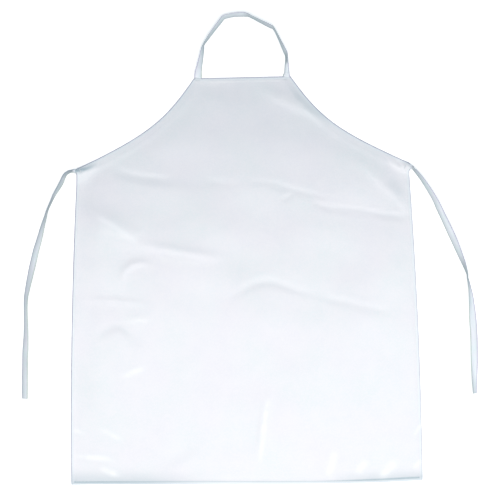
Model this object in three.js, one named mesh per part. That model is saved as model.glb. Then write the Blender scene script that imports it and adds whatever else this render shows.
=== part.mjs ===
// A butcher's bib apron of white PVC-coated cloth, laid flat with its front face up.
// Millimetres. X runs across the apron, Y from the bottom hem up to the neck, Z up from the surface
// that it lies on. The origin is on that surface, under the middle of the apron and its neck loop.
import * as THREE from "three";

// --- driving dimensions ---
const BODY_LENGTH = 1035;
const HEM_WIDTH = 901;
const WAIST_WIDTH = 850;
const WAIST_HEIGHT = 808; // of the side corners, above the bottom edge
const BIB_WIDTH = 245;
const LOOP_RISE = 167; // how far the neck loop stands out past the bib
const TAPE_WIDTH = 19;

// The armhole edge leaves the bib steeply and arrives at the side corner nearly level.
const BIB_EDGE_SLOPE = 55; // degrees below level
const WAIST_EDGE_SLOPE = 25;
const BIB_HANDLE = 134; // how far each end's direction is held
const WAIST_HANDLE = 202;

const CLOTH = 0.5;
const FREE_TAPE = 0.8; // thickness of the neck strap and the ties
const GAP = 0.3; // between neighbouring layers
const EDGE_INSET = 0.5; // a turned-back layer stops this far inside the panel's outline
const HEM_TURN = 10;
const THREAD_WIDTH = 0.8;
const THREAD_HEIGHT = 0.4;
const SEAM_INSET = 8; // from an edge to the seam that holds its hem
const END_GAP = 3; // between the end of a hem or seam and the piece beside it
const TAPE_SEAM_INSETS = { outer: 3.5, inner: 16.5 };
const TACK = { across: 14, along: 2.4, height: 0.6 };
const TACK_INSET = 5; // from the end of the tape
const SIDE_HEM_SPAN = [0.0155, 0.973]; // as shares of the edge's length, clear of the other hems
const SIDE_SEAM_SPAN = [0.014, 0.975];
const ARMHOLE_SEAM_SPAN = [0.035, 0.965];
const TAPE_TURN_START = 0.95; // where the armhole tape leaves the edge's line, as a share of it
const TAPE_TURN_LENGTH = 7; // its upright end
const TAPE_POINTS = 12;
const OUTLINE_STEPS = 20; // straight pieces that each curved edge of the panel is made of
const EDGE_STEPS = 24;
const TACK_STEPS = 2;

// --- layers, from the surface up ---
const BACK_Z = 0;
const PANEL_Z = BACK_Z + CLOTH + GAP;
const FRONT_Z = PANEL_Z + CLOTH + GAP;

const ORIGIN_Y = (BODY_LENGTH + LOOP_RISE) / 2;
const BOTTOM_HEM_Y = EDGE_INSET + HEM_TURN / 2;
const BIB_HEM_Y = BODY_LENGTH - EDGE_INSET - HEM_TURN / 2;
const BOTTOM_HEM_LENGTH = HEM_WIDTH - 2 * EDGE_INSET;
const BIB_HEM_LENGTH = BIB_WIDTH - 2 * (TAPE_WIDTH + END_GAP);
const BOTTOM_SEAM_LENGTH = HEM_WIDTH - 2 * (SEAM_INSET + END_GAP);
const LEFT = -1;
const RIGHT = 1;

// --- routes of the free tapes: x, y above the bottom edge, and roll in degrees ---
// Roll 0 lies flat, 90 stands on edge, and past 90 the other face shows.
const NECK_ROUTE = [
  [-112, 1036, 0],
  [-111.2, 1050, 22],
  [-109.5, 1058, 36],
  [-106.5, 1073, 47],
  [-102.5, 1092, 57],
  [-98.8, 1111, 68],
  [-96.8, 1119, 79],
  [-93, 1126, 80],
  [-82.5, 1141, 72],
  [-71, 1156.5, 68],
  [-50, 1183.5, 63],
  [-45, 1189, 63],
  [-38, 1191.8, 64],
  [-19, 1195.6, 64],
  [2, 1196.8, 61],
  [13, 1195.8, 66],
  [20, 1193.8, 74],
  [32, 1187.6, 76],
  [52.5, 1177, 73],
  [75, 1165.4, 69],
  [81, 1162, 76],
  [84.5, 1157.5, 81],
  [93, 1141.5, 78],
  [103.5, 1118.5, 71],
  [112, 1100, 63],
  [114.8, 1092, 69],
  [115.5, 1084, 71],
  [115.6, 1073, 66],
  [115.7, 1064.5, 53],
  [115.7, 1057, 37],
  [115.5, 1049, 23],
  [114.6, 1036, 0],
];
const LEFT_TIE_ROUTE = [
  [-434, 802, 60],
  [-444.5, 799.8, 57],
  [-453.5, 794, 53],
  [-458.5, 786.5, 47],
  [-466, 770.5, 43],
  [-474.5, 756, 47],
  [-483, 742, 53],
  [-492.5, 722, 61],
  [-501.3, 702, 62],
  [-507.8, 681, 55],
  [-514, 661, 45],
  [-523, 629, 31],
  [-532, 600, 24],
  [-540, 568, 21],
  [-547, 538, 28],
  [-555.5, 498, 40],
  [-559.2, 477, 46],
  [-560.2, 450, 50],
  [-560, 416, 47],
  [-560.8, 375, 38],
  [-562.5, 350, 30],
  [-564, 313, 32],
  [-565, 270, 27],
  [-565.8, 221, 30],
];
const RIGHT_TIE_ROUTE = [
  [434, 798.5, 74],
  [443.3, 788.7, 70],
  [457, 771.4, 65],
  [471.3, 750, 58],
  [489.7, 719, 52],
  [501.5, 694, 40],
  [516, 663, 35],
  [530, 632, 31],
  [539, 611, 37],
  [547, 591, 45],
  [555, 570, 56],
  [562.7, 549.6, 68],
  [569, 529, 84],
  [573, 509, 110],
  [576.7, 488, 124],
  [579.7, 467, 140],
  [581.5, 447, 150],
  [583, 426, 166],
  [584.5, 400, 182],
  [586, 365, 188],
  [586.5, 325, 184],
  [586.5, 303, 176],
  [586.3, 283, 167],
  [585.9, 262, 154],
  [585.7, 242, 142],
  [586.2, 219, 131],
];
const STEPS_BETWEEN_POINTS = 4;
const STEPS_ACROSS = 2; // a tape that twists needs these, to keep its two faces apart
const CURVE_TENSION = 0.5;

// --- materials ---
const cloth = new THREE.MeshStandardMaterial({ color: 0xe9edf4, roughness: 0.22, metalness: 0 });
const tape = new THREE.MeshStandardMaterial({ color: 0xd6e0e6, roughness: 0.3, metalness: 0 });
const thread = new THREE.MeshStandardMaterial({ color: 0xf2f2ee, roughness: 0.85, metalness: 0 });

const apron = new THREE.Group();
apron.position.y = -ORIGIN_Y;

function add(name, geometry, material) {
  const mesh = new THREE.Mesh(geometry, material);
  mesh.name = name;
  apron.add(mesh);
}

const radians = THREE.MathUtils.degToRad;

// --- outline ---

// The side edge of one side, from the bottom corner up: upright at the hem, leaning in to the waist.
function sideEdge(side) {
  return new THREE.QuadraticBezierCurve(
    new THREE.Vector2((side * HEM_WIDTH) / 2, 0),
    new THREE.Vector2((side * HEM_WIDTH) / 2, WAIST_HEIGHT / 2),
    new THREE.Vector2((side * WAIST_WIDTH) / 2, WAIST_HEIGHT),
  );
}

// The hollow edge of one side, from the waist corner up to the bib.
function armholeEdge(side) {
  const waist = new THREE.Vector2((side * WAIST_WIDTH) / 2, WAIST_HEIGHT);
  const bib = new THREE.Vector2((side * BIB_WIDTH) / 2, BODY_LENGTH);
  const waistSlope = radians(WAIST_EDGE_SLOPE);
  const bibSlope = radians(BIB_EDGE_SLOPE);
  const inFromWaist = new THREE.Vector2(-side * Math.cos(waistSlope), Math.sin(waistSlope));
  const outFromBib = new THREE.Vector2(side * Math.cos(bibSlope), -Math.sin(bibSlope));
  return new THREE.CubicBezierCurve(
    waist,
    waist.clone().addScaledVector(inFromWaist, WAIST_HANDLE),
    bib.clone().addScaledVector(outFromBib, BIB_HANDLE),
    bib,
  );
}

function panelOutline() {
  const outline = new THREE.Shape();
  const rightSide = sideEdge(RIGHT);
  const rightArmhole = armholeEdge(RIGHT);
  const leftSide = sideEdge(LEFT);
  const leftArmhole = armholeEdge(LEFT);
  outline.moveTo(-HEM_WIDTH / 2, 0);
  outline.lineTo(HEM_WIDTH / 2, 0);
  outline.quadraticCurveTo(rightSide.v1.x, rightSide.v1.y, rightSide.v2.x, rightSide.v2.y);
  outline.bezierCurveTo(
    ...rightArmhole.v1.toArray(),
    ...rightArmhole.v2.toArray(),
    ...rightArmhole.v3.toArray(),
  );
  outline.lineTo(-BIB_WIDTH / 2, BODY_LENGTH);
  outline.bezierCurveTo(
    ...leftArmhole.v2.toArray(),
    ...leftArmhole.v1.toArray(),
    ...leftArmhole.v0.toArray(),
  );
  outline.quadraticCurveTo(leftSide.v1.x, leftSide.v1.y, leftSide.v0.x, leftSide.v0.y);
  return outline;
}

// --- strips ---

// A box bent along a route. place(t) gives its centre, the direction along it, and its roll.
function ribbon(place, width, thickness, steps, stepsAcross = 1) {
  const geometry = new THREE.BoxGeometry(width, thickness, 1, stepsAcross, 1, steps);
  const position = geometry.getAttribute("position");
  for (let i = 0; i < position.count; i++) {
    const { centre, along, roll } = place(position.getZ(i) + 0.5);
    const across = new THREE.Vector3(0, 0, 1).cross(along).normalize().applyAxisAngle(along, roll);
    const up = along.clone().cross(across);
    const point = centre
      .addScaledVector(across, position.getX(i))
      .addScaledVector(up, position.getY(i));
    position.setXYZ(i, point.x, point.y, point.z);
  }
  return geometry;
}

// The point that lies inset inside the edge of that side, at a share u of the edge's length.
// Both edges of a side run upwards, so the panel is on the left of a right-hand edge.
function pointInside(edge, side, inset, u) {
  const { x, y } = edge.getPointAt(u);
  const heading = edge.getTangentAt(u);
  return { x: x - side * inset * heading.y, y: y + side * inset * heading.x };
}

// A flat strip that follows an edge at a distance inside it, over a span of shares of its length.
function stripInside(edge, side, inset, [from, to], width, z, thickness, steps = EDGE_STEPS) {
  const place = (t) => {
    const u = from + (to - from) * t;
    const { x, y } = pointInside(edge, side, inset, u);
    const heading = edge.getTangentAt(u);
    return {
      centre: new THREE.Vector3(x, y, z + thickness / 2),
      along: new THREE.Vector3(heading.x, heading.y, 0),
      roll: 0,
    };
  };
  return ribbon(place, width, thickness, steps);
}

// A straight flat strip across the apron, centred on x = 0.
function stripAcross(length, y, width, z, thickness) {
  const geometry = new THREE.BoxGeometry(length, width, thickness);
  return geometry.translate(0, y, z + thickness / 2);
}

// --- the free tapes ---

// A tape that lies on the surface along its route: the more it rolls, the higher its middle is.
function freeTape(route) {
  const line = new THREE.CatmullRomCurve3(
    route.map(([x, y, roll]) => new THREE.Vector3(x, y, roll)),
    false,
    "catmullrom",
    CURVE_TENSION,
  );
  const place = (t) => {
    const { x, y, z: degrees } = line.getPoint(t);
    const heading = line.getTangent(t);
    const roll = radians(degrees);
    const height = TAPE_WIDTH * Math.abs(Math.sin(roll)) + FREE_TAPE * Math.abs(Math.cos(roll));
    return {
      centre: new THREE.Vector3(x, y, BACK_Z + height / 2),
      along: new THREE.Vector3(heading.x, heading.y, 0).normalize(),
      roll,
    };
  };
  const steps = (route.length - 1) * STEPS_BETWEEN_POINTS;
  return ribbon(place, TAPE_WIDTH, FREE_TAPE, steps, STEPS_ACROSS);
}

// --- pieces that are sewn to the panel ---

function panel() {
  const geometry = new THREE.ExtrudeGeometry(panelOutline(), {
    depth: CLOTH,
    bevelEnabled: false,
    curveSegments: OUTLINE_STEPS,
  });
  return geometry.translate(0, 0, PANEL_Z);
}

function bottomHem() {
  return stripAcross(BOTTOM_HEM_LENGTH, BOTTOM_HEM_Y, HEM_TURN, BACK_Z, CLOTH);
}

function bibHem() {
  return stripAcross(BIB_HEM_LENGTH, BIB_HEM_Y, HEM_TURN, BACK_Z, CLOTH);
}

function sideHem(side) {
  const inset = EDGE_INSET + HEM_TURN / 2;
  return stripInside(sideEdge(side), side, inset, SIDE_HEM_SPAN, HEM_TURN, BACK_Z, CLOTH);
}

// The tape on the back of an armhole edge. Its top end turns upright, in line with the neck strap.
function armholeTape(side) {
  const edge = armholeEdge(side);
  const inset = EDGE_INSET + TAPE_WIDTH / 2;
  const z = BACK_Z + CLOTH / 2;
  const endX = side * (BIB_WIDTH / 2 - inset);
  const points = [];
  for (let i = 0; i <= TAPE_POINTS; i++) {
    const { x, y } = pointInside(edge, side, inset, (TAPE_TURN_START * i) / TAPE_POINTS);
    points.push(new THREE.Vector3(x, y, z));
  }
  points.push(new THREE.Vector3(endX, BODY_LENGTH - TAPE_TURN_LENGTH, z));
  points.push(new THREE.Vector3(endX, BODY_LENGTH - EDGE_INSET, z));
  const line = new THREE.CatmullRomCurve3(points);
  const place = (t) => ({ centre: line.getPointAt(t), along: line.getTangentAt(t), roll: 0 });
  return ribbon(place, TAPE_WIDTH, CLOTH, EDGE_STEPS);
}

// --- stitching, as beads of thread on the front face ---

function bottomSeam() {
  return stripAcross(BOTTOM_SEAM_LENGTH, SEAM_INSET, THREAD_WIDTH, FRONT_Z, THREAD_HEIGHT);
}

function bibSeam() {
  const y = BODY_LENGTH - SEAM_INSET;
  return stripAcross(BIB_HEM_LENGTH, y, THREAD_WIDTH, FRONT_Z, THREAD_HEIGHT);
}

function sideSeam(side) {
  return stripInside(
    sideEdge(side), side, SEAM_INSET, SIDE_SEAM_SPAN, THREAD_WIDTH, FRONT_Z, THREAD_HEIGHT,
  );
}

function armholeSeam(side, inset) {
  return stripInside(
    armholeEdge(side), side, inset, ARMHOLE_SEAM_SPAN, THREAD_WIDTH, FRONT_Z, THREAD_HEIGHT,
  );
}

// A bar of close stitches across the end of a tape, where the neck strap leaves the bib.
function neckTack(side) {
  const y = BODY_LENGTH - TACK_INSET;
  const geometry = stripAcross(TACK.across, y, TACK.along, FRONT_Z, TACK.height);
  return geometry.translate(side * (BIB_WIDTH / 2 - EDGE_INSET - TAPE_WIDTH / 2), 0, 0);
}

// The same bar at the other end of the tape, where the tie leaves the side corner.
function tieTack(side) {
  const edge = armholeEdge(side);
  const length = edge.getLength();
  const span = [TACK_INSET / length, (TACK_INSET + TACK.along) / length];
  const inset = EDGE_INSET + TAPE_WIDTH / 2;
  return stripInside(edge, side, inset, span, TACK.across, FRONT_Z, TACK.height, TACK_STEPS);
}

add("body_panel", panel(), cloth);
add("bottom_hem", bottomHem(), cloth);
add("bib_hem", bibHem(), cloth);
add("bottom_seam", bottomSeam(), thread);
add("bib_seam", bibSeam(), thread);
for (const [name, side] of Object.entries({ left: LEFT, right: RIGHT })) {
  add("side_hem_" + name, sideHem(side), cloth);
  add("side_seam_" + name, sideSeam(side), thread);
  add("armhole_tape_" + name, armholeTape(side), tape);
  add("armhole_outer_seam_" + name, armholeSeam(side, TAPE_SEAM_INSETS.outer), thread);
  add("armhole_inner_seam_" + name, armholeSeam(side, TAPE_SEAM_INSETS.inner), thread);
  add("neck_tack_" + name, neckTack(side), thread);
  add("tie_tack_" + name, tieTack(side), thread);
}
add("neck_strap", freeTape(NECK_ROUTE), tape);
add("waist_tie_left", freeTape(LEFT_TIE_ROUTE), tape);
add("waist_tie_right", freeTape(RIGHT_TIE_ROUTE), tape);

export default apron;
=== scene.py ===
"""A butcher's bib apron of white coated cloth, laid flat and seen from straight above. Metres, row frame."""
import math

import bpy
import numpy as np
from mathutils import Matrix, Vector
from mathutils.geometry import delaunay_2d_cdt


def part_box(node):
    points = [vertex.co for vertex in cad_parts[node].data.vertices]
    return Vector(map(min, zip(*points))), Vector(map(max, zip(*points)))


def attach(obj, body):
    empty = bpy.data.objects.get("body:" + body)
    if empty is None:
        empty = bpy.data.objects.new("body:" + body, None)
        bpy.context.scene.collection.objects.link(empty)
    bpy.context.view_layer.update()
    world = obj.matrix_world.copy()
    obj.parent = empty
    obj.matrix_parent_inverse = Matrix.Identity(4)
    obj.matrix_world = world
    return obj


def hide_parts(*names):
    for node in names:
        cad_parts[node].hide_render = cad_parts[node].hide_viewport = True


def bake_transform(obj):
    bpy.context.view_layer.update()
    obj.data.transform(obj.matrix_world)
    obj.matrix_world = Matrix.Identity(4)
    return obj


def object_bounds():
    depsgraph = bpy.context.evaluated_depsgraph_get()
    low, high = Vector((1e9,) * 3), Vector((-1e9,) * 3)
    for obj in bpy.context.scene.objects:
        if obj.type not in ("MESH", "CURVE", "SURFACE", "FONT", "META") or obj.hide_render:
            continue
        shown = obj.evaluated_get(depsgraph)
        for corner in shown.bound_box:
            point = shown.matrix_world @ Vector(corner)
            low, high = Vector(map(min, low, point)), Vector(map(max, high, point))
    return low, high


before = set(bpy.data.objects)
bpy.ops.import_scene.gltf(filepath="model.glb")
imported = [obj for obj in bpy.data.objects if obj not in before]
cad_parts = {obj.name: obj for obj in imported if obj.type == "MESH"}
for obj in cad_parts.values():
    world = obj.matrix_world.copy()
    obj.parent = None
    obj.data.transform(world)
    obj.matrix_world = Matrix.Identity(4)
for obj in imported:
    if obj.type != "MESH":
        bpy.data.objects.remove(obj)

MM = 0.001
LEFT, RIGHT = -1, 1
SIDES = {"left": LEFT, "right": RIGHT}

cad_low, cad_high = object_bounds()
panel_low, panel_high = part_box("body_panel")
BOTTOM_Y = panel_low.y
TOP_Y = panel_high.y
HALF_HEM = panel_high.x
TAPE_WIDTH = 19 * MM
HALF_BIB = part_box("bib_hem")[1].x + TAPE_WIDTH + 3 * MM

# --- tape and cloth ---
TAPE_THICKNESS = 0.7 * MM
HEM_WIDTH = 10 * MM
HEM_THICKNESS = 0.4 * MM
CLOTH_THICKNESS = 0.45 * MM

# Routes of the free tapes, as in the CAD: x, y above the bottom edge (mm), and roll (degrees).
NECK_ROUTE = [
    (-112, 1036, 0), (-111.2, 1050, 22), (-109.5, 1058, 36), (-106.5, 1073, 47), (-102.5, 1092, 57),
    (-98.8, 1111, 68), (-96.8, 1119, 79), (-93, 1126, 80), (-82.5, 1141, 72), (-71, 1156.5, 68),
    (-50, 1183.5, 63), (-45, 1189, 63), (-38, 1191.8, 64), (-19, 1195.6, 64), (2, 1196.8, 61),
    (13, 1195.8, 66), (20, 1193.8, 74), (32, 1187.6, 76), (52.5, 1177, 73), (75, 1165.4, 69),
    (81, 1162, 76), (84.5, 1157.5, 81), (93, 1141.5, 78), (103.5, 1118.5, 71), (112, 1100, 63),
    (114.8, 1092, 69), (115.5, 1084, 71), (115.6, 1073, 66), (115.7, 1064.5, 53), (115.7, 1057, 37),
    (115.5, 1049, 23), (114.6, 1036, 0),
]
LEFT_TIE_ROUTE = [
    (-434, 802, 60), (-444.5, 799.8, 57), (-453.5, 794, 53), (-458.5, 786.5, 47), (-466, 770.5, 43),
    (-474.5, 756, 47), (-483, 742, 53), (-492.5, 722, 61), (-501.3, 702, 62), (-507.8, 681, 55),
    (-514, 661, 45), (-523, 629, 31), (-532, 600, 24), (-540, 568, 21), (-547, 538, 28),
    (-555.5, 498, 40), (-559.2, 477, 46), (-560.2, 450, 50), (-560, 416, 47), (-560.8, 375, 38),
    (-562.5, 350, 30), (-564, 313, 32), (-565, 270, 27), (-565.8, 221, 30),
]
RIGHT_TIE_ROUTE = [
    (434, 798.5, 74), (443.3, 788.7, 70), (457, 771.4, 65), (471.3, 750, 58), (489.7, 719, 52),
    (501.5, 694, 40), (516, 663, 35), (530, 632, 31), (539, 611, 37), (547, 591, 45), (555, 570, 56),
    (562.7, 549.6, 68), (569, 529, 84), (573, 509, 110), (576.7, 488, 124), (579.7, 467, 140),
    (581.5, 447, 150), (583, 426, 166), (584.5, 400, 182), (586, 365, 188), (586.5, 325, 184),
    (586.5, 303, 176), (586.3, 283, 167), (585.9, 262, 154), (585.7, 242, 142), (586.2, 219, 131),
]
STEPS_BETWEEN_POINTS = 6

# --- the apron's own dimensions ---
WAIST_CORNER = (425 * MM, BOTTOM_Y + 808 * MM)
SIDE_TOP = 790 * MM  # where the side edge starts to turn out towards the tie
# The corners' own ends, drawn out over the roots of the ties: x outwards, y above the bottom edge (mm).
CORNERS = {
    LEFT: [(426.1, 790), (427, 796), (430, 798.5), (434.5, 799), (434.5, 803.6), (430.5, 804.5), (425, 808)],
    RIGHT: [(426.1, 790), (427.2, 792), (429.1, 795), (432.4, 797), (436.4, 799.3), (434.8, 803),
            (430.5, 807.5), (425, 813)],
}
BIB_SPREAD = {LEFT: 0, RIGHT: 2.5 * MM}  # the right bib corner stands out past the strap
BIB_RISE = {LEFT: 1 * MM, RIGHT: 3.2 * MM}  # the bib's top edge lies a little askew
ARMHOLE_SLOPES = (math.radians(25), math.radians(55))
ARMHOLE_HANDLES = (202 * MM, 134 * MM)
ARMHOLE_STEPS = 75
BOTTOM_SAG = 2 * MM  # the bottom edge lies this far below the cut line, and bows by a little more
BOTTOM_BOW = 6 * MM
EDGE_STEP = 5 * MM
GRID_STEP = 5 * MM
# How far inside the edge the rings of the panel's points lie, in mm.
EDGE_RINGS = [0.6, 1.4, 2.6, 4.2, 5.8, 7.2, 8, 8.8, 10.2, 12, 14.4, 17, 19.5, 22, 25, 28]
GRID_INSET = 32 * MM

SEAM_INSET = 8 * MM
TAPE_SEAM_INSETS = {"outer": 3.5 * MM, "inner": 16.5 * MM}
STITCH_LENGTH = 2.4 * MM
STITCH_PITCH = 3.4 * MM
STITCH_RADIUS = 0.28 * MM
STITCH_SINK = 0.45  # how deep a stitch lies in the cloth, in its own radii
TAPE_STITCH_ROW = 0.66  # of the way from the tape's middle to its edge

random = np.random.RandomState(11)


# ------------------------------------------------------------------ small helpers

def link_object(name, data):
    thing = bpy.data.objects.new(name, data)
    bpy.context.scene.collection.objects.link(thing)
    return thing


def mesh_piece(name, points, faces, material, **values):
    """A smooth mesh object. Each extra value is a number for every point, kept as an attribute."""
    mesh = bpy.data.meshes.new(name)
    mesh.from_pydata([tuple(p) for p in points], [], [tuple(f) for f in faces])
    mesh.update()
    mesh.shade_smooth()
    for key, numbers in values.items():
        attribute = mesh.attributes.new(key, "FLOAT", "POINT")
        attribute.data.foreach_set("value", np.asarray(numbers, np.float32))
    mesh.materials.append(material)
    return link_object(name, mesh)


def smoothstep(x, low, high):
    t = np.clip((x - low) / (high - low), 0, 1)
    return t * t * (3 - 2 * t)


def curve_through(points, steps):
    """A smooth curve through rows of numbers, with so many steps between each two rows."""
    p = np.array(points, float)
    p = np.vstack([2 * p[0] - p[1], p, 2 * p[-1] - p[-2]])
    t = np.arange(steps)[:, None] / steps
    parts = []
    for a, b, c, d in zip(p, p[1:], p[2:], p[3:]):
        cubic = 3 * b - a - 3 * c + d
        square = 2 * a - 5 * b + 4 * c - d
        parts.append((2 * b + (c - a) * t + square * t**2 + cubic * t**3) / 2)
    parts.append(p[-2:-1])
    return np.vstack(parts)


def row_frame(route):
    """A route's x and y in metres in the row frame, with its roll in radians."""
    r = np.array(route, float)
    return np.column_stack([r[:, 0] * MM, r[:, 1] * MM + BOTTOM_Y, np.radians(r[:, 2])])


def lengths_along(points):
    steps = np.linalg.norm(np.diff(points, axis=0), axis=1)
    return np.concatenate([[0], np.cumsum(steps)])


# ------------------------------------------------------------------ camera

CAMERA_PLACE = (15.5 * MM, -7 * MM, 3.027)
CAMERA_TURN = math.radians(-0.75)
FOCAL_LENGTH = 85
SENSOR_WIDTH = 36


def make_camera():
    """A long lens straight above the apron."""
    data = bpy.data.cameras.new("camera")
    data.lens = FOCAL_LENGTH
    data.sensor_width = SENSOR_WIDTH
    camera = link_object("camera", data)
    camera.location = CAMERA_PLACE
    camera.rotation_euler = (0, 0, CAMERA_TURN)
    bpy.context.scene.camera = camera


# ------------------------------------------------------------------ materials

CLOTH_LILAC = (0.83, 0.815, 0.865)
CLOTH_BLUE = (0.795, 0.83, 0.855)
CLOTH_PALE = (0.865, 0.85, 0.88)
GLINT_WHITE = (0.97, 0.97, 0.975)
HEM_HIGHLIGHT_COLOUR = (0.78, 0.86, 0.90)
EDGE_SHADE_COLOUR = (0.48, 0.47, 0.58)
PAINTED_SHADE_COLOUR = (0.34, 0.445, 0.505)
TAPE_LILAC = (0.81, 0.825, 0.885)
TAPE_BLUE = (0.76, 0.84, 0.87)
TAPE_LILAC_EDGE_SHADE = (0.54, 0.52, 0.65)
TAPE_GREEN_EDGE_SHADE = (0.52, 0.60, 0.54)
TAPE_SHADE_COLOUR = (0.32, 0.42, 0.44)
THREAD_GREY = (0.72, 0.76, 0.80)
THREAD_WHITE = (0.84, 0.87, 0.90)
FLOOR_GREY = (0.93, 0.93, 0.93)
FLOOR_WHITE = (0.96, 0.96, 0.96)
FLOOR_GLOW = 0.45

# How deep the surfaces' fine relief is.
CLOTH_CREASE_DEPTH = 0.7 * MM
CLOTH_GRAIN_DEPTH = 0.22 * MM
TAPE_CREASE_DEPTH = 0.9 * MM
TAPE_STITCH_DEPTH = 0.3 * MM
WEAVE_DEPTH = 0.04 * MM
TWIST_DEPTH = 0.08 * MM
CLOTH_WEAVE_PITCH = 1.1 * MM
TAPE_WEAVE_PITCH = 1.0 * MM


def new_material(name):
    material = bpy.data.materials.new(name)
    material.use_nodes = True
    return material, material.node_tree, material.node_tree.nodes["Principled BSDF"]


def add_node(tree, kind, values=None, **settings):
    node = tree.nodes.new(kind)
    for key, value in settings.items():
        setattr(node, key, value)
    for key, value in (values or {}).items():
        node.inputs[key].default_value = value
    return node


def noise(tree, vector, scale, detail=2, roughness=0.5):
    node = add_node(
        tree, "ShaderNodeTexNoise", {"Scale": scale, "Detail": detail, "Roughness": roughness}
    )
    tree.links.new(vector, node.inputs["Vector"])
    return node.outputs["Fac"]


def ramp(tree, value, low, high, to_low=0.0, to_high=1.0):
    node = add_node(
        tree,
        "ShaderNodeMapRange",
        {"From Min": low, "From Max": high, "To Min": to_low, "To Max": to_high},
        interpolation_type="SMOOTHSTEP",
    )
    tree.links.new(value, node.inputs["Value"])
    return node.outputs["Result"]


def mix_colours(tree, share, first, second):
    """Mixes two colours; each is a socket or an (r, g, b)."""
    node = add_node(tree, "ShaderNodeMix", data_type="RGBA")
    tree.links.new(share, node.inputs["Factor"])
    for socket, colour in ((node.inputs[6], first), (node.inputs[7], second)):
        if isinstance(colour, tuple):
            socket.default_value = (*colour, 1)
        else:
            tree.links.new(colour, socket)
    return node.outputs[2]


def calculate(tree, operation, *terms):
    node = add_node(tree, "ShaderNodeMath", operation=operation)
    for socket, term in zip(node.inputs, terms):
        if isinstance(term, (int, float)):
            socket.default_value = term
        else:
            tree.links.new(term, socket)
    return node.outputs[0]


def attribute(tree, name):
    return add_node(tree, "ShaderNodeAttribute", attribute_name=name).outputs["Fac"]


def bump(tree, height, distance, below=None):
    node = add_node(tree, "ShaderNodeBump", {"Strength": 1, "Distance": distance})
    tree.links.new(height, node.inputs["Height"])
    if below is not None:
        tree.links.new(below, node.inputs["Normal"])
    return node.outputs["Normal"]


def weave(tree, vector, pitch):
    """Fine crossed threads, as the coating shows them: two sets of waves, a pitch apart."""
    waves = []
    for direction in ("X", "Y"):
        node = add_node(
            tree,
            "ShaderNodeTexWave",
            {"Scale": 1 / (pitch * 3.14), "Distortion": 0.6, "Detail": 1, "Detail Scale": 0.5},
            bands_direction=direction,
        )
        tree.links.new(vector, node.inputs["Vector"])
        waves.append(node.outputs["Fac"])
    return calculate(tree, "MULTIPLY", *waves)


def object_coordinates(tree):
    return add_node(tree, "ShaderNodeTexCoord").outputs["Object"]


def cloth_material():
    """Glossy coated cloth with faint mottling, a fine weave and soft creases; with painted shade on the
    sides of its folds, in listed strokes, along the bottom hem and along its edges, a painted highlight
    along its hems, and painted glints along small creases."""
    material, tree, shader = new_material("coated cloth")
    place = object_coordinates(tree)
    blotches = ramp(tree, noise(tree, place, 7, 1.5, 0.5), 0.25, 0.75)
    colour = mix_colours(tree, blotches, CLOTH_LILAC, CLOTH_BLUE)
    cloudy = ramp(tree, noise(tree, place, 24, 2, 0.5), 0.25, 0.8, 0, 0.45)
    colour = mix_colours(tree, cloudy, colour, CLOTH_PALE)
    grain = ramp(tree, noise(tree, place, 210, 2, 0.6), 0.38, 0.66, 0, 0.5)
    colour = mix_colours(tree, grain, colour, CLOTH_PALE)
    from_edge = attribute(tree, "from_edge")
    # A painted highlight along the hems, a little inside the edge.
    hem_highlight = ramp(tree, from_edge, 3.4, 9, 0.55, 0)
    colour = mix_colours(tree, hem_highlight, colour, HEM_HIGHLIGHT_COLOUR)
    edge_noise = noise(tree, place, 40, 2, 0.6)
    # Painted shade along the folded edges, broken up by noise.
    painted_edge_shade = ramp(tree, from_edge, 1.4, 3.4, 1, 0)
    painted_edge_shade = calculate(tree, "MULTIPLY", painted_edge_shade, ramp(tree, edge_noise, 0.2, 0.6, 0.75, 1))
    painted_edge_shade = calculate(tree, "MULTIPLY", painted_edge_shade, attribute(tree, "edge_wear"))
    colour = mix_colours(tree, painted_edge_shade, colour, EDGE_SHADE_COLOUR)
    # Painted shade on fold sides, in strokes and along the bottom hem.
    colour = mix_colours(tree, attribute(tree, "shade"), colour, PAINTED_SHADE_COLOUR)
    patchy = ramp(tree, edge_noise, 0.3, 0.6, 0.5, 1)
    # Painted glints along small creases, broken up by noise.
    whitened = calculate(tree, "MULTIPLY", attribute(tree, "whitened"), patchy)
    colour = mix_colours(tree, whitened, colour, GLINT_WHITE)
    tree.links.new(colour, shader.inputs["Base Color"])
    shader.inputs["Roughness"].default_value = 0.3
    shader.inputs["Coat Weight"].default_value = 0.3
    shader.inputs["Coat Roughness"].default_value = 0.24
    creases = bump(tree, noise(tree, place, 20, 2, 0.5), CLOTH_CREASE_DEPTH)
    fine = bump(tree, noise(tree, place, 380, 2, 0.6), CLOTH_GRAIN_DEPTH, creases)
    threads = bump(tree, weave(tree, place, CLOTH_WEAVE_PITCH), WEAVE_DEPTH, fine)
    tree.links.new(threads, shader.inputs["Normal"])
    return material


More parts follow.
